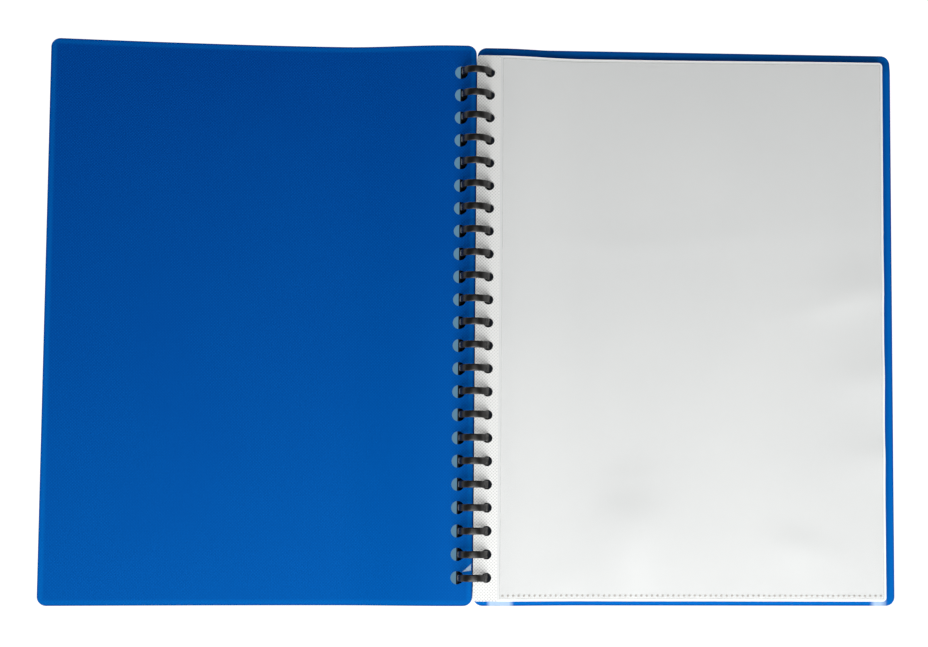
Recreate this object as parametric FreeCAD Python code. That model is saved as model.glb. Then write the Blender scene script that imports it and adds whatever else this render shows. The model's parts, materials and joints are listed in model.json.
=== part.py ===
import FreeCAD, Part
import math
import os

# Refillable display book on a plastic comb, lying open on its two covers.
# +Z up, +X towards the back cover, +Y towards the tops of the leaves. Millimetres.
# The comb's ring axis runs along Y. Every sheet turns about that axis.
# The origin is under the middle of the open book, on the surface it lies on.

# comb
RING_PITCH = 12.7
RING_COUNT = 23
RING_AXIS_Z = 9.15
STRIP_LENGTH = 289.0
STRIP_THICKNESS = 0.9
STRIP_OUTER_RADIUS = RING_AXIS_Z
STRIP_OFFSET_X = -0.3
STRIP_LEFT_WRAP = 66.0
STRIP_RIGHT_WRAP = 60.0
STRIP_CORNER_RADIUS = 2.0
FINGER_WIDTH = 3.9
FINGER_TIP_WIDTH = 2.6
FINGER_THICKNESS = 1.0
FINGER_RIGHT_RADIUS = 8.4
FINGER_LEFT_RADIUS = 7.2
FINGER_ROOT_ANGLE = 62.6
FINGER_TIP_ANGLE = 40.0
FINGER_EDGE_RADIUS = 0.3
TAPER_HALF_HEIGHT = 6.0
TAPER_REACH = (-20.0, -2.0)

# covers: a flat panel that ramps up to the height of the rings
COVER_WIDTH = 232.0
COVER_HEIGHT = 310.0
COVER_THICKNESS = 0.7
COVER_CORNER_RADIUS = 5.0
COVER_HOLE_RADIUS = 3.6
COVER_HOLE_INSET = 8.3
FRONT_EDGE_OVERLAP = 0.4
FRONT_RING_HEIGHT = -1.55
FRONT_RAMP = (14.0, 74.0)
BACK_EDGE_GAP = 0.9
BACK_RING_HEIGHT = -3.8
BACK_RAMP = (20.0, 64.0)

# leaves: a punched strip, a clear pocket open at the top, and a paper insert in the pocket
LEAF_COUNT = 10
LEAF_PITCH = 0.36
LEAF_GAP = 0.1
LEAF_START = 0.8
LEAF_END = 227.5
LEAF_BOTTOM = -152.5
LEAF_TOP = 148.5
LEAF_CORNER_RADIUS = 2.0
PUNCHED_WIDTH = 13.0
PUNCHED_THICKNESS = 0.24
PUNCHED_HOLE_RADIUS = 2.75
PUNCHED_HOLE_INSET = 7.2
POCKET_THICKNESS = 0.32
POCKET_WALL = 0.08
POCKET_SIDE_WELD = 1.2
POCKET_BOTTOM_WELD = 2.5
INSERT_WIDTH = 210.0
INSERT_HEIGHT = 297.0
INSERT_THICKNESS = 0.12
INSERT_CLEARANCE = 0.3

# a block or a drill this tall passes through any of the sheets
TOOL_HEIGHT = 40.0

# the ring axis stands a little to the left, so that the origin is midway between the far edges
FRONT_REACH = COVER_WIDTH - FRONT_EDGE_OVERLAP
BACK_REACH = COVER_WIDTH + BACK_EDGE_GAP
RING_AXIS_X = (FRONT_REACH - BACK_REACH) / 2

RING_ROWS = [RING_PITCH * ((RING_COUNT - 1) / 2 - i) for i in range(RING_COUNT)]


def on_circle(centre_x, centre_z, radius, degrees_from_bottom):
    """A point in the XZ plane, measured from the bottom of a circle towards +X."""
    a = math.radians(degrees_from_bottom)
    return FreeCAD.Vector(centre_x + radius * math.sin(a), 0, centre_z - radius * math.cos(a))


def arc_edge(centre_x, centre_z, radius, start, end):
    middle = (start + end) / 2
    points = [on_circle(centre_x, centre_z, radius, a) for a in (start, middle, end)]
    return Part.Arc(*points).toShape()


def along_y(face, low, high):
    """A face in the XZ plane, drawn out from y = low to y = high."""
    solid = face.extrude(FreeCAD.Vector(0, high - low, 0))
    solid.translate(FreeCAD.Vector(0, low, 0))
    return solid


def to_row_frame(shape):
    shape.translate(FreeCAD.Vector(RING_AXIS_X, 0, RING_AXIS_Z))
    return shape


def comb_spine():
    outer = STRIP_OUTER_RADIUS
    inner = outer - STRIP_THICKNESS
    x, left, right = STRIP_OFFSET_X, -STRIP_LEFT_WRAP, STRIP_RIGHT_WRAP
    edges = [
        arc_edge(x, 0, outer, left, right),
        Part.makeLine(on_circle(x, 0, outer, right), on_circle(x, 0, inner, right)),
        arc_edge(x, 0, inner, right, left),
        Part.makeLine(on_circle(x, 0, inner, left), on_circle(x, 0, outer, left)),
    ]
    strip = along_y(Part.Face(Part.Wire(edges)), -STRIP_LENGTH / 2, STRIP_LENGTH / 2)
    corners = [e for e in strip.Edges if abs(e.Length - STRIP_THICKNESS) < 1e-6]
    return strip.makeFillet(STRIP_CORNER_RADIUS, corners)


def finger_profile():
    """The curl of one finger: a right arc about the ring axis and a tighter left arc."""
    half = FINGER_THICKNESS / 2
    rise = FINGER_RIGHT_RADIUS - FINGER_LEFT_RADIUS
    big, small = FINGER_RIGHT_RADIUS, FINGER_LEFT_RADIUS
    root, top, tip = FINGER_ROOT_ANGLE, 180.0, 360.0 - FINGER_TIP_ANGLE
    root_end = Part.Arc(
        on_circle(0, 0, big - half, root),
        on_circle(0, 0, big, root) + half * FreeCAD.Vector(
            -math.cos(math.radians(root)), 0, -math.sin(math.radians(root))),
        on_circle(0, 0, big + half, root),
    ).toShape()
    tip_end = Part.Arc(
        on_circle(0, rise, small + half, tip),
        on_circle(0, rise, small, tip) + half * FreeCAD.Vector(
            math.cos(math.radians(tip)), 0, math.sin(math.radians(tip))),
        on_circle(0, rise, small - half, tip),
    ).toShape()
    edges = [
        root_end,
        arc_edge(0, 0, big + half, root, top),
        arc_edge(0, rise, small + half, top, tip),
        tip_end,
        arc_edge(0, rise, small - half, tip, top),
        arc_edge(0, 0, big - half, top, root),
    ]
    return Part.Face(Part.Wire(edges))


def tip_taper():
    """Two wedges that narrow the left half of a finger towards its tip."""
    full, narrow = FINGER_WIDTH / 2, FINGER_TIP_WIDTH / 2
    high, low, away = TAPER_HALF_HEIGHT, -TAPER_HALF_HEIGHT, FINGER_WIDTH
    left, right = TAPER_REACH
    wedges = []
    for side in (-1, 1):
        outline = [(side * full, high), (side * away, high), (side * away, low), (side * narrow, low)]
        corners = [FreeCAD.Vector(left, y, z) for y, z in outline]
        face = Part.Face(Part.makePolygon(corners + corners[:1]))
        wedges.append(face.extrude(FreeCAD.Vector(right - left, 0, 0)))
    return wedges


def finger():
    solid = along_y(finger_profile(), -FINGER_WIDTH / 2, FINGER_WIDTH / 2)
    for wedge in tip_taper():
        solid = solid.cut(wedge)
    upper = FINGER_RIGHT_RADIUS + FINGER_THICKNESS / 2
    outside = [e for e in solid.Edges
               if hasattr(e.Curve, "Radius") and abs(e.Curve.Radius - upper) < 1e-6]
    return solid.makeFillet(FINGER_EDGE_RADIUS, outside)


def ramped_profile(start, end, ring_height, flat_height, ramp, thickness, side):
    """A sheet seen end on: level at the rings, then a ramp, then level. side is -1 or 1."""
    line = [(start, ring_height), (ramp[0], ring_height), (ramp[1], flat_height), (end, flat_height)]
    under = [FreeCAD.Vector(side * s, 0, z) for s, z in line]
    over = [p + FreeCAD.Vector(0, 0, thickness) for p in reversed(under)]
    outline = under + over
    return Part.Face(Part.makePolygon(outline + outline[:1]))


def rounded_outline(low_x, high_x, low_y, high_y, radius):
    """An upright block with four rounded corners, tall enough to trim any sheet."""
    corner = FreeCAD.Vector(low_x, low_y, -TOOL_HEIGHT / 2)
    block = Part.makeBox(high_x - low_x, high_y - low_y, TOOL_HEIGHT, corner)
    upright = [e for e in block.Edges if abs(e.Length - TOOL_HEIGHT) < 1e-6]
    return block.makeFillet(radius, upright)


def punched(sheet, hole_x, radius):
    for y in RING_ROWS:
        sheet = sheet.cut(Part.makeCylinder(radius, TOOL_HEIGHT, FreeCAD.Vector(hole_x, y, -TOOL_HEIGHT / 2)))
    return sheet


def cover(side, start, ring_height, ramp):
    end = start + COVER_WIDTH
    profile = ramped_profile(start, end, ring_height, -RING_AXIS_Z, ramp, COVER_THICKNESS, side)
    half = COVER_HEIGHT / 2
    low, high = sorted((side * start, side * end))
    sheet = along_y(profile, -half, half)
    sheet = sheet.common(rounded_outline(low, high, -half, half, COVER_CORNER_RADIUS))
    return punched(sheet, side * (start + COVER_HOLE_INSET), COVER_HOLE_RADIUS)


def leaf_profile(number, start, end, lift, thickness):
    """The end view of one layer of a leaf. lift is its height above the leaf's underside."""
    above_cover = COVER_THICKNESS + LEAF_GAP + (number - 1) * LEAF_PITCH + lift
    return ramped_profile(start, end, BACK_RING_HEIGHT + above_cover, above_cover - RING_AXIS_Z,
                          BACK_RAMP, thickness, 1)


def leaf_strip(number):
    lift = (POCKET_THICKNESS - PUNCHED_THICKNESS) / 2
    z = BACK_RING_HEIGHT + COVER_THICKNESS + LEAF_GAP + (number - 1) * LEAF_PITCH + lift
    size = (PUNCHED_WIDTH, LEAF_TOP - LEAF_BOTTOM, PUNCHED_THICKNESS)
    sheet = Part.makeBox(*size, FreeCAD.Vector(LEAF_START, LEAF_BOTTOM, z))
    trim = rounded_outline(LEAF_START, LEAF_END, LEAF_BOTTOM, LEAF_TOP, LEAF_CORNER_RADIUS)
    return punched(sheet.common(trim), LEAF_START + PUNCHED_HOLE_INSET, PUNCHED_HOLE_RADIUS)


def leaf_pocket(number):
    start = LEAF_START + PUNCHED_WIDTH
    body = along_y(leaf_profile(number, start, LEAF_END, 0, POCKET_THICKNESS), LEAF_BOTTOM, LEAF_TOP)
    trim = rounded_outline(LEAF_START, LEAF_END, LEAF_BOTTOM, LEAF_TOP, LEAF_CORNER_RADIUS)
    inside = leaf_profile(number, start + POCKET_SIDE_WELD, LEAF_END - POCKET_SIDE_WELD,
                          POCKET_WALL, POCKET_THICKNESS - 2 * POCKET_WALL)
    return body.common(trim).cut(along_y(inside, LEAF_BOTTOM + POCKET_BOTTOM_WELD, LEAF_TOP + 1))


def leaf_insert(number):
    start = LEAF_START + PUNCHED_WIDTH + POCKET_SIDE_WELD + INSERT_CLEARANCE
    low = LEAF_BOTTOM + POCKET_BOTTOM_WELD + INSERT_CLEARANCE
    profile = leaf_profile(number, start, start + INSERT_WIDTH,
                           (POCKET_THICKNESS - INSERT_THICKNESS) / 2, INSERT_THICKNESS)
    return along_y(profile, low, low + INSERT_HEIGHT)


def save(name, shape):
    shape = to_row_frame(shape.copy())
    shape.exportStep(f"parts/{name}.step")
    print(f"{name}: {len(shape.Solids)} solid, {shape.Volume:.1f} mm3, valid {shape.isValid()}")


os.makedirs("parts", exist_ok=True)

save("comb_spine", comb_spine())

one_finger = finger()
for index, y in enumerate(RING_ROWS, start=1):
    ring = one_finger.copy()
    ring.translate(FreeCAD.Vector(0, y, 0))
    save(f"ring_{index:02d}", ring)

save("front_cover", cover(-1, -FRONT_EDGE_OVERLAP, FRONT_RING_HEIGHT, FRONT_RAMP))
save("back_cover", cover(1, BACK_EDGE_GAP, BACK_RING_HEIGHT, BACK_RAMP))

for number in range(1, LEAF_COUNT + 1):
    save(f"leaf_{number:02d}_strip", leaf_strip(number))
    save(f"leaf_{number:02d}_pocket", leaf_pocket(number))
    save(f"leaf_{number:02d}_insert", leaf_insert(number))
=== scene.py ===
import bpy
import bmesh
import json
import math
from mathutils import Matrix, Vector

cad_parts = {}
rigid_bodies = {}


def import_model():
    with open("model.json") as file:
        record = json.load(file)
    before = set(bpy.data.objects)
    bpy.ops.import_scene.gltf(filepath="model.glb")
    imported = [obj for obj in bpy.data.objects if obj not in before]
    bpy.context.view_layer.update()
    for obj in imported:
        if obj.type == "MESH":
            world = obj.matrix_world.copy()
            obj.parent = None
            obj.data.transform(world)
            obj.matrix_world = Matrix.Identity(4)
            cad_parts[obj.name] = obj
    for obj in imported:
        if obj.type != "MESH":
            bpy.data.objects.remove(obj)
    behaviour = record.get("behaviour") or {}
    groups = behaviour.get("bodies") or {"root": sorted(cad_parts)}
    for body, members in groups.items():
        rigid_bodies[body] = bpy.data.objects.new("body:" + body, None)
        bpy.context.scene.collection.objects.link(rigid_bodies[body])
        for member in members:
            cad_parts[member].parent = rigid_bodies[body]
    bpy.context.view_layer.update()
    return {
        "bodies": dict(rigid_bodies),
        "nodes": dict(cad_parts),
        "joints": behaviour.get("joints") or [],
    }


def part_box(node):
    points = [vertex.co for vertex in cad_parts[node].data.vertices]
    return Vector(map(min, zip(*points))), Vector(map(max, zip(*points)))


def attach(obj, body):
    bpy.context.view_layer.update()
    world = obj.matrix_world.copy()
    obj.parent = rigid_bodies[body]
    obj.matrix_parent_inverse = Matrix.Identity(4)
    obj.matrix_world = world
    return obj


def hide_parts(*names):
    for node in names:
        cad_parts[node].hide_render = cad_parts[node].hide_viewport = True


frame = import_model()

# Refillable display book, lying open. The pieces' dictionaries are in millimetres and degrees,
# those of the materials, the studio and the lens in metres and radians.
mm = 0.001
ringAxis = Vector(next(j["pos_m"] for j in frame["joints"] if j["name"] == "front_cover_turn"))
leafNames = sorted(name for name in frame["bodies"] if name.startswith("leaf_"))
ringNames = sorted(name for name in frame["nodes"] if name.startswith("ring_"))
ringRows = sorted(((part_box(n)[0].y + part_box(n)[1].y) / 2 for n in ringNames), reverse=True)
ringPitch = ringRows[0] - ringRows[1]


# 0 at low, 1 at high, eased. low may be the larger one.
def smoothStep(low, high, value):
    t = min(max((value - low) / (high - low), 0.0), 1.0)
    return t * t * (3 - 2 * t)


# A soft round bump, 1 at its middle.
def hump(x, y, centreX, centreY, wide, tall, turn=0.0):
    c, s = math.cos(turn), math.sin(turn)
    u = ((x - centreX) * c + (y - centreY) * s) / wide
    v = (-(x - centreX) * s + (y - centreY) * c) / tall
    return math.exp(-(u * u + v * v))


def newTree(material):
    material.use_nodes = True
    tree = material.node_tree
    tree.nodes.clear()
    return tree


def addNode(tree, kind, **values):
    node = tree.nodes.new(kind)
    for key, value in values.items():
        setattr(node, key, value)
    return node


def joinNodes(tree, source, target):
    tree.links.new(source, target)


# Sets a socket to a number or a colour, or joins another node's output to it.
def feed(tree, socket, value):
    if isinstance(value, (int, float)):
        socket.default_value = value
    elif isinstance(value, tuple):
        socket.default_value = (*value, 1.0)
    else:
        joinNodes(tree, value, socket)


def mathNode(tree, operation, *values):
    node = addNode(tree, "ShaderNodeMath", operation=operation)
    for socket, value in zip(node.inputs, values):
        feed(tree, socket, value)
    return node.outputs[0]


def mixColours(tree, factor, first, second):
    node = addNode(tree, "ShaderNodeMix", data_type="RGBA")
    for index, value in ((0, factor), (6, first), (7, second)):  # a colour mix's own sockets
        feed(tree, node.inputs[index], value)
    return node.outputs[2]


def rangeNode(tree, value, fromLow, fromHigh, toLow, toHigh):
    node = addNode(tree, "ShaderNodeMapRange")
    limits = {"From Min": fromLow, "From Max": fromHigh, "To Min": toLow, "To Max": toHigh}
    for label, number in limits.items():
        feed(tree, node.inputs[label], number)
    joinNodes(tree, value, node.inputs["Value"])
    return node.outputs["Result"]


def noiseNode(tree, place, scale, detail=2.0):
    node = addNode(tree, "ShaderNodeTexNoise")
    feed(tree, node.inputs["Scale"], scale)
    feed(tree, node.inputs["Detail"], detail)
    joinNodes(tree, place, node.inputs["Vector"])
    return node.outputs["Fac"]


def attributeNode(tree, label):
    return addNode(tree, "ShaderNodeAttribute", attribute_name=label).outputs["Fac"]


def splitPlace(tree, place):
    split = addNode(tree, "ShaderNodeSeparateXYZ")
    joinNodes(tree, place, split.inputs[0])
    return split


def newGroup(name, inputs, outputs):
    group = bpy.data.node_groups.new(name, "ShaderNodeTree")
    for label, kind, value in inputs:
        socket = group.interface.new_socket(label, in_out="INPUT", socket_type=kind)
        if value is not None:
            socket.default_value = value
    for label, kind in outputs:
        group.interface.new_socket(label, in_out="OUTPUT", socket_type=kind)
    return group, group.nodes.new("NodeGroupInput"), group.nodes.new("NodeGroupOutput")


def placeGroup(tree, group, **values):
    node = addNode(tree, "ShaderNodeGroup", node_tree=group)
    for key, value in values.items():
        feed(tree, node.inputs[key], value)
    return node


# Rows of small raised diamonds, as an embossing roller leaves them on sheet.
def makeDiamondGrain():
    group, start, end = newGroup(
        "diamondGrain",
        [("Position", "NodeSocketVector", None), ("Pitch", "NodeSocketFloat", 0.001),
         ("Unevenness", "NodeSocketFloat", 0.2)],
        [("Height", "NodeSocketFloat"), ("Patch", "NodeSocketFloat")])
    split = splitPlace(group, start.outputs["Position"])
    waves = []
    for operation in ("ADD", "SUBTRACT"):
        along = mathNode(group, operation, split.outputs["X"], split.outputs["Y"])
        turns = mathNode(group, "DIVIDE", along, start.outputs["Pitch"])
        wave = mathNode(group, "SINE", mathNode(group, "MULTIPLY", turns, math.pi))
        waves.append(mathNode(group, "MULTIPLY", wave, wave))
    diamonds = mathNode(group, "MULTIPLY", waves[0], waves[1])
    patches = noiseNode(group, start.outputs["Position"], 55.0, 3.0)
    uneven = mathNode(group, "MULTIPLY", patches, start.outputs["Unevenness"])
    strength = mathNode(group, "SUBTRACT", 1.0, uneven)
    joinNodes(group, mathNode(group, "MULTIPLY", diamonds, strength), end.inputs["Height"])
    joinNodes(group, patches, end.inputs["Patch"])
    return group


# Fine scratches and slow variation, for roughness and colour.
def makeSurfaceWear():
    group, start, end = newGroup(
        "surfaceWear",
        [("Position", "NodeSocketVector", None), ("Scale", "NodeSocketFloat", 300.0)],
        [("Scratches", "NodeSocketFloat"), ("Clouds", "NodeSocketFloat")])
    stretch = addNode(group, "ShaderNodeMapping")
    stretch.inputs["Scale"].default_value = (1.0, 0.08, 1.0)
    stretch.inputs["Rotation"].default_value = (0.0, 0.0, 0.6)
    joinNodes(group, start.outputs["Position"], stretch.inputs["Vector"])
    scratches = noiseNode(group, stretch.outputs[0], start.outputs["Scale"], 4.0)
    joinNodes(group, rangeNode(group, scratches, 0.62, 0.78, 0.0, 1.0), end.inputs["Scratches"])
    clouds = noiseNode(group, start.outputs["Position"], 9.0, 5.0)
    joinNodes(group, clouds, end.inputs["Clouds"])
    return group


diamondGrain = makeDiamondGrain()
surfaceWear = makeSurfaceWear()


def bumpNode(tree, height, strength, distance):
    bump = addNode(tree, "ShaderNodeBump")
    feed(tree, bump.inputs["Strength"], strength)
    feed(tree, bump.inputs["Distance"], distance)
    joinNodes(tree, height, bump.inputs["Height"])
    return bump.outputs["Normal"]


# A material, its tree, and the place on the piece that its patterns follow.
def newMaterial(name):
    material = bpy.data.materials.new(name)
    tree = newTree(material)
    return material, tree, addNode(tree, "ShaderNodeTexCoord").outputs["Object"]


# The surface itself, from what feeds each of its sockets.
def finishMaterial(tree, feeds):
    shader = addNode(tree, "ShaderNodeBsdfPrincipled")
    for label, value in feeds.items():
        feed(tree, shader.inputs[label], value)
    output = addNode(tree, "ShaderNodeOutputMaterial")
    joinNodes(tree, shader.outputs[0], output.inputs["Surface"])


blueSheet = {
    "colour": (0.0, 0.090, 0.375), "deepColour": (0.0, 0.052, 0.295), "edgeColour": (0.0, 0.140, 0.50),
    "rimColour": (0.0, 0.038, 0.21), "creaseColour": (0.42, 0.56, 0.72),
    # Painted light: the blue is painted paler towards the bottom and the right, as the light from there
    # would make it.
    "drift": (0.25, -1.0), "driftReach": 0.19,  # which way, and over what length, the blue grows paler
    "grainPitch": 0.00165, "grainDepth": 0.00010, "unevenness": 0.35,
    "roughness": 0.50, "refraction": 1.49, "gloss": 0.02,
}


# 1 inside a small triangle in the sheet's plane, 0 outside. Corners anticlockwise, in millimetres.
def insideTriangle(tree, split, corners):
    nearest = None
    for (ax, ay), (bx, by) in zip(corners, corners[1:] + corners[:1]):
        length = math.hypot(bx - ax, by - ay)
        dx, dy = (bx - ax) / length, (by - ay) / length
        offset = (dy * ax - dx * ay) * mm
        side = mathNode(tree, "MULTIPLY_ADD", split.outputs["Y"], dx, offset)
        side = mathNode(tree, "MULTIPLY_ADD", split.outputs["X"], -dy, side)
        nearest = side if nearest is None else mathNode(tree, "MINIMUM", nearest, side)
    return rangeNode(tree, nearest, -0.0001, 0.0004, 0.0, 1.0)


# Embossed translucent sheet, paler along its cut edges, with painted light making it paler towards the
# bottom and the right.
def makeBlueSheet(name, settings, paleTriangle=None):
    material, tree, place = newMaterial(name)
    grain = placeGroup(tree, diamondGrain, Position=place, Pitch=settings["grainPitch"],
                       Unevenness=settings["unevenness"])
    relief = grain.outputs["Height"]
    wear = placeGroup(tree, surfaceWear, Position=place, Scale=260.0)
    edge = attributeNode(tree, "edgeDistance")
    split = splitPlace(tree, place)
    # Painted light: the colour grows paler towards the bottom and the right; the clouds are random tone.
    paintedLightX, paintedLightY = settings["drift"]
    drift = mathNode(tree, "MULTIPLY_ADD", split.outputs["X"], paintedLightX,
                     mathNode(tree, "MULTIPLY", split.outputs["Y"], paintedLightY))
    drift = rangeNode(tree, drift, -settings["driftReach"], settings["driftReach"], 0.0, 1.0)
    cloud = rangeNode(tree, wear.outputs["Clouds"], 0.3, 0.7, -0.06, 0.06)
    paintedLightAndClouds = mathNode(tree, "ADD", drift, cloud)
    base = mixColours(tree, paintedLightAndClouds, settings["deepColour"], settings["colour"])
    base = mixColours(tree, rangeNode(tree, relief, 0.0, 1.0, -0.10, 0.55), base, settings["edgeColour"])
    band = mathNode(tree, "MULTIPLY", rangeNode(tree, edge, 0.0004, 0.0012, 0.0, 1.0),
                    rangeNode(tree, edge, 0.0022, 0.0036, 0.42, 0.0))
    base = mixColours(tree, band, base, settings["edgeColour"])
    base = mixColours(tree, rangeNode(tree, edge, 0.0, 0.0006, 0.8, 0.0), base, settings["rimColour"])
    # Painted glint on the back cover's bottom edge, where the clear leaf corners stick out.
    base = mixColours(tree, attributeNode(tree, "whitened"), base, settings["creaseColour"])
    if paleTriangle:
        # A pale triangle by the front cover's spine edge.
        base = mixColours(tree, insideTriangle(tree, split, paleTriangle), base, settings["creaseColour"])
    scuffs = mathNode(tree, "MULTIPLY", wear.outputs["Scratches"], 0.10)
    finishMaterial(tree, {
        "Base Color": base, "Roughness": mathNode(tree, "ADD", settings["roughness"], scuffs),
        "IOR": settings["refraction"], "Specular IOR Level": settings["gloss"],
        "Normal": bumpNode(tree, relief, 0.55, settings["grainDepth"]),
    })
    return material


combPlastic = {"colour": (0.006, 0.0055, 0.005), "paleColour": (0.022, 0.021, 0.020), "roughness": 0.26}


# Moulded black plastic with faint flow marks and scuffs.
def makeCombPlastic(name, settings):
    material, tree, place = newMaterial(name)
    wear = placeGroup(tree, surfaceWear, Position=place, Scale=900.0)
    grit = noiseNode(tree, place, 2200.0)
    scuffs = rangeNode(tree, wear.outputs["Scratches"], 0.0, 1.0, 0.0, 0.6)
    haze = mathNode(tree, "MULTIPLY", wear.outputs["Clouds"], 0.14)
    finishMaterial(tree, {
        "Base Color": mixColours(tree, scuffs, settings["colour"], settings["paleColour"]),
        "Roughness": mathNode(tree, "ADD", settings["roughness"], haze),
        "Normal": bumpNode(tree, grit, 0.25, 0.00002),
    })
    return material


stripFilm = {
    "colour": (0.80, 0.805, 0.79), "shade": (0.30, 0.31, 0.30), "grainPitch": 0.0018,
    "unevenness": 0.5, "roughness": (0.36, 0.5),
}


# White film with a tight embossed diamond grain.
def makeStripFilm(name, settings):
    material, tree, place = newMaterial(name)
    grain = placeGroup(tree, diamondGrain, Position=place, Pitch=settings["grainPitch"],
                       Unevenness=settings["unevenness"])
    relief = grain.outputs["Height"]
    shaded = rangeNode(tree, relief, 0.0, 1.0, 0.0, 0.85)
    finishMaterial(tree, {
        "Base Color": mixColours(tree, shaded, settings["colour"], settings["shade"]),
        "Roughness": rangeNode(tree, grain.outputs["Patch"], 0.3, 0.7, *settings["roughness"]),
        "Normal": bumpNode(tree, relief, 0.5, 0.00005),
    })
    return material


insertPaper = {
    "colour": (0.715, 0.724, 0.718), "shade": (0.682, 0.693, 0.690), "fibreColour": (0.6, 0.6, 0.58),
    "roughness": 0.75,
}


# Plain white paper: fibres, and a faint cloudiness.
def makeInsertPaper(name, settings):
    material, tree, place = newMaterial(name)
    fibres = noiseNode(tree, place, 1400.0, 5.0)
    clouds = placeGroup(tree, surfaceWear, Position=place, Scale=120.0).outputs["Clouds"]
    base = mixColours(tree, rangeNode(tree, clouds, 0.3, 0.7, 0.0, 1.0),
                      settings["shade"], settings["colour"])
    base = mixColours(tree, rangeNode(tree, fibres, 0.45, 0.75, 0.0, 0.12),
                      base, settings["fibreColour"])
    finishMaterial(tree, {
        "Base Color": base, "Roughness": settings["roughness"],
        "Normal": bumpNode(tree, fibres, 0.2, 0.00002),
    })
    return material


pocketFilm = {
    "colour": (0.705, 0.715, 0.710), "lip": (0.97, 0.98, 0.99), "alpha": 0.07, "weldAlpha": 0.96,
    "weldWidth": (0.0013, 0.0017), "roughness": 0.24, "scuffedRoughness": 0.34, "refraction": 1.49,
    "gloss": 0.3,
}


# Thin clear film, milky where it is welded, with a painted highlight along its edges.
def makePocketFilm(name, settings):
    material, tree, place = newMaterial(name)
    wear = placeGroup(tree, surfaceWear, Position=place, Scale=420.0)
    edge = attributeNode(tree, "edgeDistance")
    # Painted highlight along the film's edges.
    onEdgeHighlight = rangeNode(tree, edge, 0.0003, 0.0009, 1.0, 0.0)
    finishMaterial(tree, {
        "Base Color": mixColours(tree, onEdgeHighlight, settings["colour"], settings["lip"]),
        "IOR": settings["refraction"], "Specular IOR Level": settings["gloss"],
        "Roughness": rangeNode(tree, wear.outputs["Scratches"], 0.0, 1.0,
                               settings["roughness"], settings["scuffedRoughness"]),
        "Alpha": rangeNode(tree, edge, *settings["weldWidth"], settings["weldAlpha"], settings["alpha"]),
        "Normal": bumpNode(tree, wear.outputs["Clouds"], 0.15, 0.0006),
    })
    return material


# A pale triangle on the front cover by its spine edge, between the last two fingers.
spinePaleTriangle = [(-6.0, -136.6), (-0.9, -135.9), (-0.9, -132.0)]
frontMaterial = makeBlueSheet("blueCoverFront", blueSheet, spinePaleTriangle)
backMaterial = makeBlueSheet("blueCoverBack", blueSheet)
combMaterial = makeCombPlastic("blackComb", combPlastic)
stripMaterial = makeStripFilm("whiteStrip", stripFilm)
paperMaterial = makeInsertPaper("insertPaper", insertPaper)
filmMaterial = makePocketFilm("clearFilm", pocketFilm)
print("materials made")


def spread(low, high, step):
    count = max(1, round((high - low) / step))
    return [low + (high - low) * i / count for i in range(count + 1)]


# Even steps, with finer ones within margin of both ends.
def edgedSpread(low, high, margin, step, fine):
    if not margin:
        return spread(low, high, step)
    return (spread(low, low + margin, fine)[:-1] + spread(low + margin, high - margin, step)[:-1]
            + spread(high - margin, high, fine))


def addObject(name, data):
    piece = bpy.data.objects.new(name, data)
    bpy.context.scene.collection.objects.link(piece)
    return piece


def keepMesh(bm, name):
    mesh = bpy.data.meshes.new(name)
    bm.to_mesh(mesh)
    bm.free()
    return mesh


# One punched cell: rings of quads from a round hole out to a rectangle.
def holedCell(bm, centre, halfX, halfY, radius, perSide):
    square = []
    for side in range(4):
        for i in range(perSide):
            t = -1 + 2 * i / perSide
            square.append(((t, -1), (1, t), (-t, 1), (-1, -t))[side])
    rings = []
    for blend in (0.0, 0.35, 1.0):
        ring = []
        for u, v in square:
            angle = math.atan2(v * halfY, u * halfX)
            rimX, rimY = radius * math.cos(angle), radius * math.sin(angle)
            x = rimX + (u * halfX - rimX) * blend
            y = rimY + (v * halfY - rimY) * blend
            ring.append(bm.verts.new((centre[0] + x, centre[1] + y, 0)))
        rings.append(ring)
    count = len(square)
    for inner, outer in zip(rings, rings[1:]):
        for i in range(count):
            j = (i + 1) % count
            bm.faces.new((inner[i], outer[i], outer[j], inner[j]))


def flatGrid(bm, xs, ys):
    rows = [[bm.verts.new((x, y, 0)) for x in xs] for y in ys]
    for low, high in zip(rows, rows[1:]):
        for i in range(len(xs) - 1):
            bm.faces.new((low[i], low[i + 1], high[i + 1], high[i]))


# Pulls the points outside each corner's arc onto the arc. square names a side that keeps its corners.
def roundCorners(bm, lowX, highX, lowY, highY, radius, square=""):
    for vert in bm.verts:
        x, y = vert.co.x, vert.co.y
        cornerX = min(max(x, lowX + radius), highX - radius)
        cornerY = min(max(y, lowY + radius), highY - radius)
        dx, dy = x - cornerX, y - cornerY
        if dx == 0 or dy == 0 or square == ("low" if dx < 0 else "high"):
            continue
        reach = max(abs(dx), abs(dy))
        away = math.hypot(dx, dy)
        vert.co.x = cornerX + dx * reach / away
        vert.co.y = cornerY + dy * reach / away


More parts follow.
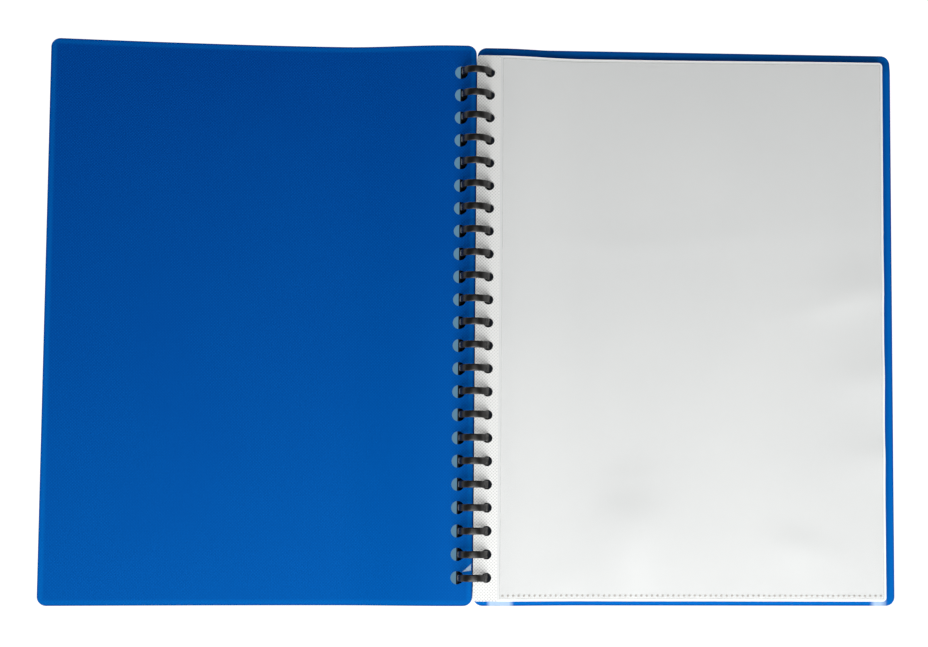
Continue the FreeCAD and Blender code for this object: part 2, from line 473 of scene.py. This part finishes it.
# A flat sheet's points round a row of punched holes, one hole by each finger.
def punchedGrid(bm, plan):
    lowX, highX, lowY, highY = plan["box"]
    radius, step, fine, holes = plan["corner"], plan["step"], plan["fine"], plan["holes"]
    halfX, halfY, perSide = holes["halfX"], ringPitch / 2, holes["perSide"]
    cellY = sorted({round(row + halfY * (-1 + 2 * i / perSide), 7) for row in ringRows
                    for i in range(perSide + 1)})
    ys = spread(lowY, lowY + radius, fine)[:-1] + spread(lowY + radius, cellY[0], step)[:-1] + cellY
    ys += spread(cellY[-1], highY - radius, step)[1:] + spread(highY - radius, highY, fine)[1:]
    left, right = holes["x"] - halfX, holes["x"] + halfX
    for low, high in ((lowX, left), (right, highX)):
        if high - low <= 3 * radius:
            xs = spread(low, high, fine)
        elif high == highX:
            xs = spread(low, high - radius, step)[:-1] + spread(high - radius, high, fine)
        else:
            xs = spread(low, low + radius, fine)[:-1] + spread(low + radius, high, step)
        flatGrid(bm, xs, ys)
    cellX = [left + 2 * halfX * i / perSide for i in range(perSide + 1)]
    flatGrid(bm, cellX, [y for y in ys if y <= cellY[0] + 1e-7])
    flatGrid(bm, cellX, [y for y in ys if y >= cellY[-1] - 1e-7])
    for row in ringRows:
        holedCell(bm, (holes["x"], row), halfX, halfY, holes["radius"], perSide)
    bmesh.ops.remove_doubles(bm, verts=bm.verts, dist=0.00002)


def storeValues(mesh, label, values):
    mesh.attributes.new(label, "FLOAT", "POINT").data.foreach_set("value", values)


# A sheet with rounded corners and perhaps punched holes, lifted onto surface(x, y) and given its thickness.
def makeSheet(name, plan, surface, thickness, material, extra=None):
    lowX, highX, lowY, highY = plan["box"]
    radius = plan.get("corner", 0.0)
    bm = bmesh.new()
    if "holes" in plan:
        punchedGrid(bm, plan)
    else:
        fine = plan.get("fine", plan["step"])
        flatGrid(bm, edgedSpread(lowX, highX, radius, plan["step"], fine),
                 edgedSpread(lowY, highY, radius, plan["step"], fine))
    if radius:
        roundCorners(bm, lowX, highX, lowY, highY, radius, plan.get("square", ""))
    bmesh.ops.recalc_face_normals(bm, faces=bm.faces)
    if sum(f.normal.z for f in bm.faces) < 0:
        bmesh.ops.reverse_faces(bm, faces=bm.faces)
    mesh = keepMesh(bm, name)
    joined = plan.get("joinedSide", 0.0)  # keeps the rim's look off a side that's welded on
    distances = [min(max(v.co.x - lowX, joined), highX - v.co.x, v.co.y - lowY, highY - v.co.y)
                 for v in mesh.vertices]
    storeValues(mesh, "edgeDistance", distances)
    if extra:
        label, rule = extra
        storeValues(mesh, label, [rule(v.co.x, v.co.y) for v in mesh.vertices])
    for vert in mesh.vertices:
        vert.co.z = surface(vert.co.x, vert.co.y)
    piece = addObject(name, mesh)
    thicken(piece, thickness)
    piece.data.materials.append(material)
    return piece


sharpAngle = math.radians(35)  # edges steeper than this stay crisp


def thicken(piece, thickness):
    solid = piece.modifiers.new("thickness", "SOLIDIFY")
    solid.thickness = thickness
    solid.offset = 0.0
    applyModifiers(piece)


def applyModifiers(piece):
    depsgraph = bpy.context.evaluated_depsgraph_get()
    mesh = bpy.data.meshes.new_from_object(piece.evaluated_get(depsgraph))
    piece.modifiers.clear()
    piece.data = mesh
    mesh.shade_smooth()
    mesh.set_sharp_from_angle(angle=sharpAngle)


# One object from several, at the origin.
def joinPieces(name, pieces):
    bm = bmesh.new()
    for piece in pieces:
        bm.from_mesh(piece.data)
    mesh = keepMesh(bm, name)
    mesh.materials.append(pieces[0].data.materials[0])
    for piece in pieces:
        bpy.data.objects.remove(piece)
    mesh.set_sharp_from_angle(angle=sharpAngle)
    return addObject(name, mesh)


frontCover = {
    "thickness": 0.7, "corner": 5.0, "holeInset": 8.3, "holeRadius": 3.6,
    "rampStart": 12.0, "rampEnd": 74.0,  # from ring height down to the table, outwards from the rings
    "curlStart": 84.0, "curlTop": 9.3, "curlBottom": 9.6, "curlPower": 1.6,
}
backCover = {
    "thickness": 0.7, "corner": 5.0, "holeInset": 8.3, "holeRadius": 3.6,
    "rampStart": 14.0, "rampEnd": 60.0, "farLift": 1.8,
    "endDroop": 2.4, "droopFrom": 144.0, "droopTo": 155.0,
    # Where the back cover's bottom edge gets a painted glint of the clear leaf corners:
    "rubbedSpans": [(8.5, 21.5), (220.5, 228.0)], "rubbedRows": (-151.5, -153.0), "rubbedPaleness": 0.85,
}
coverGrid = {"step": 3.0, "fine": 0.7, "cellHalf": 5.0, "cellSides": 8}
outerReach = 0.8  # how far each sheet's outer edge goes past the plain model's

frontLow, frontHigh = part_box("front_cover")
backLow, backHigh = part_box("back_cover")
frontRingHeight = frontHigh.z - frontCover["thickness"] * mm
backRingHeight = backHigh.z - backCover["thickness"] * mm


# Height of the front cover's underside: level at the rings, down to the table, curling up outside.
def frontUnderside(x, y):
    s = ringAxis.x - x
    out = -frontLow.x + ringAxis.x
    start, end = frontCover["rampStart"] * mm, frontCover["rampEnd"] * mm
    near = frontRingHeight * (1 - smoothStep(start, end, s))
    along = (y - frontLow.y) / (frontHigh.y - frontLow.y)
    curl = frontCover["curlBottom"] + (frontCover["curlTop"] - frontCover["curlBottom"]) * along
    curlStart = frontCover["curlStart"] * mm
    u = min(max((s - curlStart) / (out - curlStart), 0.0), 1.0)
    return near + curl * mm * u ** frontCover["curlPower"]


def backUnderside(x, y):
    s = x - ringAxis.x
    start, end = backCover["rampStart"] * mm, backCover["rampEnd"] * mm
    near = backRingHeight * (1 - smoothStep(start, end, s))
    return near + backCover["farLift"] * mm * smoothStep(end, backHigh.x, s)


# The cover's free top end hangs lower than the leaves once it's past the comb.
def droopingUnderside(x, y):
    droop = backCover["endDroop"] * mm * smoothStep(backCover["droopFrom"], backCover["droopTo"], y / mm)
    return max(backUnderside(x, y) - droop, 0.0)


# Two patches on the back cover's bottom edge with a painted glint, standing in for the clear leaf corners
# that stick out there and catch the light.
def paintedGlintMask(x, y):
    pale = 0.0
    for start, end in backCover["rubbedSpans"]:
        pale += smoothStep(start - 1, start + 1, x / mm) * smoothStep(end + 1, end - 1, x / mm)
    return backCover["rubbedPaleness"] * pale * smoothStep(*backCover["rubbedRows"], y / mm)


def makeCover(name, low, high, settings, underside, holeX, material, extra=None):
    half = settings["thickness"] * mm / 2
    plan = {
        "box": (low.x, high.x, low.y, high.y), "corner": settings["corner"] * mm,
        "step": coverGrid["step"] * mm, "fine": coverGrid["fine"] * mm,
        "holes": {"x": holeX, "radius": settings["holeRadius"] * mm,
                  "halfX": coverGrid["cellHalf"] * mm, "perSide": coverGrid["cellSides"]},
    }
    return makeSheet(name, plan, lambda x, y: underside(x, y) + half, 2 * half, material, extra)


frontLow.x -= outerReach * mm
backHigh.x += outerReach * mm
frontPiece = makeCover("frontCover", frontLow, frontHigh, frontCover, frontUnderside,
                       frontHigh.x - frontCover["holeInset"] * mm, frontMaterial)
backPiece = makeCover("backCover", backLow, backHigh, backCover, droopingUnderside,
                      backLow.x + backCover["holeInset"] * mm, backMaterial, ("whitened", paintedGlintMask))
for piece, body in ((frontPiece, "front_cover"), (backPiece, "back_cover")):
    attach(piece, body)
    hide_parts(body)
print("covers made")


leaf = {
    "stripThickness": 0.24, "holeInset": 7.2, "holeRadius": 2.75, "corner": 2.0, "cellHalf": 4.6,
    "film": 0.05, "pocket": 0.30, "weld": 1.6, "weldedSide": 1.0, "paper": 0.12, "paperMargin": 1.3,
    "topReach": 0.8, "waveHeight": 0.06, "flatTo": 20.0, "wavyFrom": 60.0,
    "stripStep": 3.0, "topStep": 3.0, "hiddenStep": 12.0, "stripFine": 0.6, "filmFine": 0.5,
}
weldDots = {"spacing": 2.9, "radius": 0.7, "height": 0.14, "lift": 0.13, "inset": 3.1}

# where the top leaf stands off the ones under it:
# middle x and y, reach along x, reach towards +y, reach towards -y, turn, height
leafHumps = [
    (88.0, -111.0, 16.0, 20.0, 36.0, 0.0, 3.0), (88.0, -83.0, 12.0, 7.0, 7.0, 0.0, 0.45),
    (224.0, -29.0, 24.0, 12.0, 13.0, 0.12, 1.2), (226.0, -73.0, 18.0, 8.0, 12.0, 0.1, 1.1),
    (210.0, 17.0, 30.0, 14.0, 9.0, 0.32, 1.2), (179.0, -123.0, 18.0, 8.0, 12.0, -0.2, 0.8),
    (48.0, -138.0, 12.0, 6.0, 9.0, 0.3, 0.4), (150.0, 50.0, 60.0, 7.0, 7.0, 0.08, 0.2),
    (70.0, 45.0, 50.0, 7.0, 7.0, -0.06, 0.2), (228.0, 150.0, 90.0, 70.0, 90.0, 0.0, 1.2),
    (228.0, -150.0, 70.0, 60.0, 60.0, 0.0, 0.6),
]


# Slow waves of a filled pocket, growing from the lowest leaf to the top one.
def leafStandOff(x, y, share):
    total = 0.0
    for cx, cy, wide, tallUp, tallDown, turn, height in leafHumps:
        tall = tallUp if y / mm > cy else tallDown
        total += height * hump(x / mm, y / mm, cx, cy, wide, tall, turn)
    waves = leaf["waveHeight"] * math.sin(x / mm / 17.0 + y / mm / 41.0) + leaf["waveHeight"]
    return (total + waves) * smoothStep(leaf["flatTo"], leaf["wavyFrom"], x / mm) * mm * share ** 2


def makeLeaf(number, body):
    share = number / len(leafNames)
    top = number == len(leafNames)
    pocketLow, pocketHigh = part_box(body + "_pocket")
    stripLow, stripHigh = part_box(body + "_strip")
    for corner in (pocketHigh, stripHigh):
        corner.y += leaf["topReach"] * mm
    pocketHigh.x += outerReach * mm
    margin = leaf["paperMargin"] * mm
    levelAtRings = (stripLow.z + stripHigh.z) / 2
    aboveCover = levelAtRings - backRingHeight

    def middle(x, y):
        return backUnderside(x, y) + aboveCover + leafStandOff(x, y, share)

    def filmGap(x, y):
        weld = leaf["weld"] * mm
        closed = leaf["film"] / 2 * mm
        room = (leaf["pocket"] / 2 - leaf["film"] / 2) * mm
        inset = min(x - pocketLow.x, pocketHigh.x - x, y - pocketLow.y)
        return closed + (room - closed) * smoothStep(weld * 0.5, weld * 1.6, inset)

    step = (leaf["topStep"] if top else leaf["hiddenStep"]) * mm
    strip = makeSheet(
        body + "_punchedStrip",
        {"box": (stripLow.x, stripHigh.x, stripLow.y, stripHigh.y), "corner": leaf["corner"] * mm,
         "square": "high", "step": leaf["stripStep"] * mm, "fine": leaf["stripFine"] * mm,
         "holes": {"x": stripLow.x + leaf["holeInset"] * mm, "radius": leaf["holeRadius"] * mm,
                   "halfX": leaf["cellHalf"] * mm, "perSide": 8 if top else 4}},
        middle, leaf["stripThickness"] * mm, stripMaterial)
    films = []
    for side in (1, -1):
        films.append(makeSheet(
            f"{body}_film{side}",
            {"box": (pocketLow.x, pocketHigh.x, pocketLow.y, pocketHigh.y),
             "corner": leaf["corner"] * mm, "square": "low", "joinedSide": leaf["weldedSide"] * mm,
             "step": step, "fine": leaf["filmFine"] * mm},
            lambda x, y: middle(x, y) + side * filmGap(x, y), leaf["film"] * mm, filmMaterial))
    pocket = joinPieces(body + "_clearPocket", films)
    paper = makeSheet(
        body + "_paper",
        {"box": (pocketLow.x + margin, pocketHigh.x - margin,
                 pocketLow.y + margin, pocketHigh.y - margin), "step": step},
        middle, leaf["paper"] * mm, paperMaterial)
    for piece, node, slot in ((strip, "_strip", "white_strip_film"),
                              (pocket, "_pocket", "clear_pocket_film"),
                              (paper, "_insert", "white_paper")):
        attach(piece, body)
        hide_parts(body + node)
    makeWeldDots(body, middle, pocketLow, pocketHigh)


def socketInput(tree, label, kind, value=None):
    socket = tree.interface.new_socket(label, in_out="INPUT", socket_type=kind)
    if value is not None:
        socket.default_value = value
    return socket.identifier


# Turns copies into real geometry with the given material, and ends the tree.
def finishTree(tree, copies, start, end):
    real = addNode(tree, "GeometryNodeRealizeInstances")
    joinNodes(tree, copies.outputs["Instances"], real.inputs["Geometry"])
    paint = addNode(tree, "GeometryNodeSetMaterial")
    joinNodes(tree, real.outputs["Geometry"], paint.inputs["Geometry"])
    joinNodes(tree, start.outputs["Material"], paint.inputs["Material"])
    joinNodes(tree, paint.outputs["Geometry"], end.inputs["Geometry"])


# Small flattened weld dots, evenly along a line.
def makeDotTree():
    tree = bpy.data.node_groups.new("weldDots", "GeometryNodeTree")
    tree.interface.new_socket("Geometry", in_out="INPUT", socket_type="NodeSocketGeometry")
    keys = {
        "spacing": socketInput(tree, "Spacing", "NodeSocketFloat", weldDots["spacing"] * mm),
        "radius": socketInput(tree, "Dot Radius", "NodeSocketFloat", weldDots["radius"] * mm),
        "height": socketInput(tree, "Dot Height", "NodeSocketFloat", weldDots["height"] * mm),
        "material": socketInput(tree, "Material", "NodeSocketMaterial"),
    }
    tree.interface.new_socket("Geometry", in_out="OUTPUT", socket_type="NodeSocketGeometry")
    start, end = tree.nodes.new("NodeGroupInput"), tree.nodes.new("NodeGroupOutput")
    curve = addNode(tree, "GeometryNodeMeshToCurve")
    joinNodes(tree, start.outputs["Geometry"], curve.inputs["Mesh"])
    points = addNode(tree, "GeometryNodeResampleCurve", mode="LENGTH")
    joinNodes(tree, curve.outputs["Curve"], points.inputs["Curve"])
    joinNodes(tree, start.outputs["Spacing"], points.inputs["Length"])
    dot = addNode(tree, "GeometryNodeMeshUVSphere")
    dot.inputs["Segments"].default_value = 8
    dot.inputs["Rings"].default_value = 4
    dot.inputs["Radius"].default_value = 1.0
    size = addNode(tree, "ShaderNodeCombineXYZ")
    joinNodes(tree, start.outputs["Dot Radius"], size.inputs["X"])
    joinNodes(tree, start.outputs["Dot Radius"], size.inputs["Y"])
    joinNodes(tree, start.outputs["Dot Height"], size.inputs["Z"])
    copies = addNode(tree, "GeometryNodeInstanceOnPoints")
    joinNodes(tree, points.outputs["Curve"], copies.inputs["Points"])
    joinNodes(tree, dot.outputs["Mesh"], copies.inputs["Instance"])
    joinNodes(tree, size.outputs[0], copies.inputs["Scale"])
    finishTree(tree, copies, start, end)
    return tree, keys


weldedFilm = {"colour": (0.30, 0.29, 0.27), "paleColour": (0.46, 0.44, 0.41), "roughness": 0.3}


# The milky look of film melted together.
def makeWeldedFilm(name, settings):
    material, tree, place = newMaterial(name)
    wear = placeGroup(tree, surfaceWear, Position=place, Scale=800.0)
    finishMaterial(tree, {
        "Base Color": mixColours(tree, wear.outputs["Clouds"], settings["colour"], settings["paleColour"]),
        "Roughness": settings["roughness"],
        "Normal": bumpNode(tree, wear.outputs["Scratches"], 0.2, 0.00003),
    })
    return material


dotTree, dotKeys = makeDotTree()
weldMaterial = makeWeldedFilm("weldedFilm", weldedFilm)


# Runs a Geometry Nodes tree on a piece and keeps the plain mesh that it makes.
def applyTree(piece, tree, values):
    modifier = piece.modifiers.new("nodes", "NODES")
    modifier.node_group = tree
    for key, value in values.items():
        modifier[key] = value
    applyModifiers(piece)
    material = piece.data.materials[-1]
    piece.data.materials.clear()
    piece.data.materials.append(material)


def makeWeldDots(body, middle, low, high):
    inset, lift = weldDots["inset"] * mm, weldDots["lift"] * mm
    y = low.y + inset
    xs = spread(low.x + inset, high.x - inset, 2 * mm)
    places = [(x, y, middle(x, y) + lift) for x in xs]
    mesh = bpy.data.meshes.new(body + "_weldDots")
    mesh.from_pydata(places, [(i, i + 1) for i in range(len(xs) - 1)], [])
    piece = addObject(body + "_weldDots", mesh)
    applyTree(piece, dotTree, {dotKeys["material"]: weldMaterial})
    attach(piece, body)


for number, body in enumerate(leafNames, start=1):
    makeLeaf(number, body)
print("leaves made")


comb = {
    "rightRadius": 8.4, "leftRadius": 7.2, "rootAngle": 62.6, "tipAngle": 40.0, "width": 3.9,
    "tipWidth": 2.5, "taperStart": 0.62, "capReach": 42.0, "crown": (0.55, 0.75),
    "thickness": 1.0, "steps": 56, "around": 20,
    "stripOffset": -0.3, "stripThickness": 0.9, "stripLeft": 66.0, "stripRight": 60.0,
    "stripCorner": 2.0, "stripFine": 0.35, "arcStep": 0.6, "stripStep": 3.0, "softEdge": 0.22,
}


# Place and direction on the finger's curl. share runs from 0 at the root to 1 at the tip.
def curlPoint(share):
    right, left = comb["rightRadius"] * mm, comb["leftRadius"] * mm
    firstTurn, secondTurn = 180 - comb["rootAngle"], 180 - comb["tipAngle"]
    firstLength, secondLength = right * firstTurn, left * secondTurn
    split = firstLength / (firstLength + secondLength)
    if share <= split:
        angle, radius, rise = comb["rootAngle"] + firstTurn * share / split, right, 0.0
    else:
        angle, radius, rise = 180 + secondTurn * (share - split) / (1 - split), left, right - left
    a = math.radians(angle)
    place = Vector((radius * math.sin(a), 0, rise - radius * math.cos(a)))
    outward = Vector((math.sin(a), 0, -math.cos(a)))
    return place, outward


# Half width and half thickness along the finger: rounded root, tapered tip.
def fingerSection(share):
    half, tip = comb["width"] / 2 * mm, comb["tipWidth"] / 2 * mm
    wide = half + (tip - half) * smoothStep(comb["taperStart"], 1.0, share)
    thick = comb["thickness"] / 2 * mm
    ends = min(share, 1 - share) * comb["capReach"] * mm / thick
    cap = math.sqrt(max(0.0, 1 - (1 - min(ends, 1.0)) ** 2))
    return wide * (0.75 + 0.25 * cap), thick * cap


# One curled finger with a crowned section, standing at the ring axis.
def makeFinger():
    bm = bmesh.new()
    steps, around = comb["steps"], comb["around"]
    crownX, crownY = comb["crown"]
    shares = [0.02 + 0.96 * i / steps for i in range(steps + 1)]
    shares = [0.004, 0.010] + shares + [0.990, 0.996]  # closer together on the rounded ends
    loops = []
    for share in shares:
        place, outward = curlPoint(share)
        wide, thick = fingerSection(share)
        loop = []
        for k in range(around):
            a = 2 * math.pi * k / around
            c, s = math.cos(a), math.sin(a)
            u = math.copysign(abs(c) ** crownX, c) * wide
            v = math.copysign(abs(s) ** crownY, s) * thick
            loop.append(bm.verts.new(place + Vector((0, u, 0)) + outward * v))
        loops.append(loop)
    for low, high in zip(loops, loops[1:]):
        for k in range(around):
            n = (k + 1) % around
            bm.faces.new((low[k], low[n], high[n], high[k]))
    for loop in (loops[0], loops[-1]):
        bm.faces.new(loop)
    bmesh.ops.recalc_face_normals(bm, faces=bm.faces)
    return bpy.data.objects.new("fingerPattern", keepMesh(bm, "fingerPattern"))


# Copies of one finger in a row along the comb.
def makeFingerTree():
    tree = bpy.data.node_groups.new("fingerRow", "GeometryNodeTree")
    tree.interface.new_socket("Geometry", in_out="INPUT", socket_type="NodeSocketGeometry")
    keys = {
        "finger": socketInput(tree, "Finger", "NodeSocketObject"),
        "count": socketInput(tree, "Count", "NodeSocketInt", len(ringRows)),
        "pitch": socketInput(tree, "Pitch", "NodeSocketVector", (0.0, -ringPitch, 0.0)),
        "first": socketInput(tree, "First Place", "NodeSocketVector",
                             (ringAxis.x, ringRows[0], ringAxis.z)),
        "material": socketInput(tree, "Material", "NodeSocketMaterial"),
    }
    tree.interface.new_socket("Geometry", in_out="OUTPUT", socket_type="NodeSocketGeometry")
    start, end = tree.nodes.new("NodeGroupInput"), tree.nodes.new("NodeGroupOutput")
    line = addNode(tree, "GeometryNodeMeshLine", mode="OFFSET")
    joinNodes(tree, start.outputs["Count"], line.inputs["Count"])
    joinNodes(tree, start.outputs["First Place"], line.inputs["Start Location"])
    joinNodes(tree, start.outputs["Pitch"], line.inputs["Offset"])
    pattern = addNode(tree, "GeometryNodeObjectInfo")
    joinNodes(tree, start.outputs["Finger"], pattern.inputs["Object"])
    copies = addNode(tree, "GeometryNodeInstanceOnPoints")
    joinNodes(tree, line.outputs["Mesh"], copies.inputs["Points"])
    joinNodes(tree, pattern.outputs["Geometry"], copies.inputs["Instance"])
    finishTree(tree, copies, start, end)
    return tree, keys


def makeFingers():
    pattern = makeFinger()
    tree, keys = makeFingerTree()
    piece = addObject("combFingers", bpy.data.meshes.new("combFingers"))
    applyTree(piece, tree, {keys["finger"]: pattern, keys["material"]: combMaterial})
    bpy.data.objects.remove(pattern)
    return piece


# The comb's curved back, from its left lip round the bottom to the finger roots.
def makeSpineStrip():
    low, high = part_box("comb_spine")
    outer = ringAxis.z
    middle = outer - comb["stripThickness"] * mm / 2
    corner = comb["stripCorner"] * mm
    arc = math.radians(comb["stripLeft"] + comb["stripRight"]) * middle
    bm = bmesh.new()
    fine = comb["stripFine"] * mm
    xs = edgedSpread(0, arc, corner, comb["arcStep"] * mm, fine)
    ys = edgedSpread(low.y, high.y, corner, comb["stripStep"] * mm, fine)
    flatGrid(bm, xs, ys)
    roundCorners(bm, 0, arc, low.y, high.y, corner)
    for vert in bm.verts:
        a = vert.co.x / middle - math.radians(comb["stripLeft"])
        x = ringAxis.x + comb["stripOffset"] * mm + middle * math.sin(a)
        vert.co = Vector((x, vert.co.y, ringAxis.z - middle * math.cos(a)))
    piece = addObject("combSpine", keepMesh(bm, "combSpine"))
    solid = piece.modifiers.new("thickness", "SOLIDIFY")
    solid.thickness = comb["stripThickness"] * mm
    solid.offset = 0.0
    bevel = piece.modifiers.new("softEdges", "BEVEL")
    bevel.width = comb["softEdge"] * mm
    bevel.segments = 3
    bevel.angle_limit = math.radians(50)
    applyModifiers(piece)
    piece.data.materials.append(combMaterial)
    return piece


fingersPiece = makeFingers()
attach(fingersPiece, "fingers")
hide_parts(*ringNames)
spinePiece = makeSpineStrip()
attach(spinePiece, "comb")
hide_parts("comb_spine")
print("comb made")


studio = {
    "floor": (0.02, 0.02, 0.02), "floorGlow": 1.05, "floorSides": 96,
    "sweep": [(2.6, -0.0002), (2.9, 0.02), (3.2, 0.12), (3.4, 0.3), (3.5, 0.55), (3.5, 1.25)],
    "world": (0.96, 0.98, 1.0), "worldStrength": 0.03,
    "lamp": (0.12, -0.56, 0.62), "lampSize": 0.9, "lampPower": 10.2,
    "fill": (0.3, 0.1, 1.6), "fillSize": 1.0, "fillPower": 2.6,
    # Painted shade on the floor under the comb: blue-grey on the left, as light through the blue cover, and
    # near black on the right.
    "spineShade": (0.10, 0.22, 0.32), "leafShade": (0.006, 0.007, 0.008),  # floor under the comb
    "shadeWidth": (0.0125, 0.0145), "shadeLength": (0.147, 0.152), "shadeSeam": (-0.002, 0.002),
}
lens = {
    "place": (0.02226, -0.10997, 0.98111), "turn": (0.072596, -0.052992, 0.003028),
    "focal": 68.79, "shift": (-0.1556, 0.0762),
}


# The floor glows evenly, with painted shade under the comb.
def makeFloorMaterial():
    material, tree, place = newMaterial("paleFloor")
    noise = noiseNode(tree, place, 40.0)
    split = splitPlace(tree, place)
    # Painted shade under the comb.
    shade = mixColours(tree, rangeNode(tree, split.outputs["X"], *studio["shadeSeam"], 0.0, 1.0),
                       studio["spineShade"], studio["leafShade"])
    fromMiddle = mathNode(tree, "ABSOLUTE", split.outputs["X"])
    across = rangeNode(tree, fromMiddle, *studio["shadeWidth"], 1.0, 0.0)
    fromCentre = mathNode(tree, "ABSOLUTE", split.outputs["Y"])
    along = rangeNode(tree, fromCentre, *studio["shadeLength"], 1.0, 0.0)
    shaded = mathNode(tree, "MULTIPLY", across, along)
    finishMaterial(tree, {
        "Base Color": studio["floor"], "Roughness": rangeNode(tree, noise, 0.3, 0.7, 0.7, 0.8),
        "Emission Color": mixColours(tree, shaded, (1.0, 1.0, 1.0), shade),
        "Emission Strength": studio["floorGlow"],
    })
    return material


# A round floor that sweeps up into a wall.
def makeFloor():
    sides = studio["floorSides"]
    bm = bmesh.new()
    loops = []
    for radius, height in studio["sweep"]:
        angles = [2 * math.pi * k / sides for k in range(sides)]
        loops.append([bm.verts.new((radius * math.cos(a), radius * math.sin(a), height)) for a in angles])
    bm.faces.new(loops[0])
    for inner, outer in zip(loops, loops[1:]):
        for k in range(sides):
            n = (k + 1) % sides
            bm.faces.new((inner[k], outer[k], outer[n], inner[n]))
    mesh = keepMesh(bm, "floor")
    mesh.shade_smooth()
    mesh.materials.append(makeFloorMaterial())
    floor = addObject("floor", mesh)


def makeLamp(name, place, size, power):
    data = bpy.data.lights.new(name, "AREA")
    data.shape = "DISK"
    data.size = size
    data.energy = power
    lamp = addObject(name, data)
    lamp.location = place
    lamp.rotation_euler = (-Vector(place)).to_track_quat("-Z", "Y").to_euler()
    lamp.visible_camera = False


def makeWorld():
    world = bpy.data.worlds.new("studioWorld")
    world.use_nodes = True
    background = world.node_tree.nodes["Background"]
    background.inputs["Color"].default_value = (*studio["world"], 1.0)
    background.inputs["Strength"].default_value = studio["worldStrength"]
    bpy.context.scene.world = world


def makeCamera():
    data = bpy.data.cameras.new("camera")
    data.lens = lens["focal"]
    data.sensor_width = 36.0
    data.shift_x, data.shift_y = lens["shift"]
    camera = addObject("camera", data)
    camera.location = lens["place"]
    camera.rotation_euler = lens["turn"]
    bpy.context.scene.camera = camera


makeFloor()
makeWorld()
makeLamp("keyLamp", studio["lamp"], studio["lampSize"], studio["lampPower"])
makeLamp("fillLamp", studio["fill"], studio["fillSize"], studio["fillPower"])
makeCamera()
bpy.context.scene.view_settings.view_transform = "Standard"
print("studio made")
